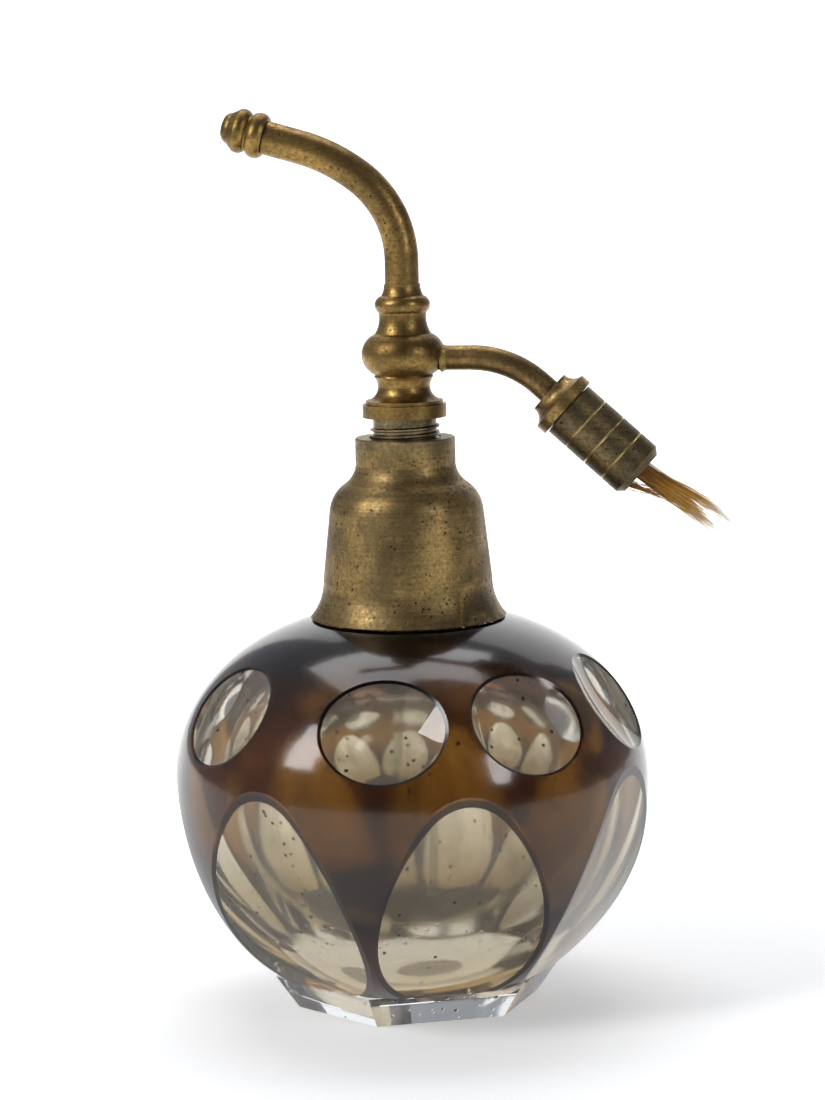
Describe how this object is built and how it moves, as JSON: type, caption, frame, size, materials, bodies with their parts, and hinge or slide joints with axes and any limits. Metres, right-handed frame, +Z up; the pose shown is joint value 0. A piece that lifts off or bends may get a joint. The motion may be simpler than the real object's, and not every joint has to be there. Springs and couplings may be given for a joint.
{
  "type": "perfume atomiser",
  "caption": "Cased cut-glass bulb atomiser: amber over clear globe bottle, brass bell neck, screw-in head with gooseneck spout and side ferrule for a squeeze bulb.",
  "frame": {"origin": "centre of the foot's flat underside", "axes": "+Z up along the bottle's axis, spout towards -X, side tube and ferrule towards +X"},
  "size_m": [0.0839, 0.0746, 0.141],
  "materials": {
    "clear_glass": "cut and polished, seeds and a faint straw tint",
    "amber_glass": "polished amber-brown overlay",
    "tube_glass": "drawn clear glass",
    "aged_brass": "turned brass with an aged satin olive-brown patina",
    "dark_brass": "darker, greyer patina with bright scribed lines",
    "inner_brass": "dull unpolished brass",
    "worn_spigot": "silvery worn thread with dark roots",
    "solder": "crumbly tarnished solder",
    "valve_steel": "dull ball",
    "plaster": "matte plaster cement",
    "leather_seal": "dark compressed leather",
    "cork": "cork",
    "perished_rubber": "hardened old rubber",
    "silk_fibre": "loose golden silk fibres, paler at the tips"
  },
  "bodies": {
    "root": {"bottle": "clear_glass", "amber_casing": "amber_glass", "bell_collar": "aged_brass", "neck_ring": "aged_brass", "neck_plaster": "plaster", "neck_seal": "leather_seal"},
    "dip": {"dip_tube": "tube_glass", "dip_bush": "cork"},
    "head": {"screw_spigot": "worn_spigot", "head_body": "aged_brass", "spout_tube": "aged_brass", "liquid_tube": "inner_brass", "spout_tip": "inner_brass", "air_stub": "aged_brass", "stub_solder": "solder", "air_tube": "aged_brass", "ferrule_cap": "aged_brass", "valve_seat": "leather_seal", "hose_nipple": "inner_brass"},
    "jet": {"nozzle_jet": "inner_brass"},
    "nozzle": {"nozzle_cap": "aged_brass"},
    "gland": {"gland_ring": "inner_brass", "rubber_neck": "perished_rubber", "silk_tuft": "silk_fibre"},
    "sleeve": {"ferrule_sleeve": "dark_brass"},
    "valve": {"valve_ball": "valve_steel"}
  },
  "joints": [
    {"name": "head_lift", "type": "slide", "parent": "root", "child": "dip", "axis": [0, 0, 1], "range_m": [-0.003, 0.0035]},
    {"name": "head_turn", "type": "hinge", "parent": "dip", "child": "head", "pos_m": [0, 0, 0.09], "axis": [0, 0, 1], "range_deg": [-1078, 1258]},
    {"name": "nozzle_travel", "type": "slide", "parent": "head", "child": "jet", "axis": [-0.9613, 0, 0.2756], "range_m": [0, 0.002]},
    {"name": "nozzle_turn", "type": "hinge", "parent": "jet", "child": "nozzle", "pos_m": [-0.02105, 0, 0.13649], "axis": [-0.9613, 0, 0.2756], "range_deg": [0, 1440]},
    {"name": "sleeve_travel", "type": "slide", "parent": "head", "child": "gland", "axis": [0.7443, 0, -0.6678], "range_m": [0, 0.0024]},
    {"name": "sleeve_turn", "type": "hinge", "parent": "gland", "child": "sleeve", "pos_m": [0.03029, 0, 0.08999], "axis": [0.7443, 0, -0.6678], "range_deg": [0, 1440]},
    {"name": "valve_lift", "type": "slide", "parent": "head", "child": "valve", "axis": [-0.7443, 0, 0.6678], "range_m": [0, 0.0006]}
  ],
  "couplings": [
    {"joint": "head_lift", "follows": "head_turn", "m_per_rad": 0.00015915},
    {"joint": "nozzle_turn", "follows": "nozzle_travel", "rad_per_m": 12566},
    {"joint": "sleeve_turn", "follows": "sleeve_travel", "rad_per_m": 10472}
  ]
}
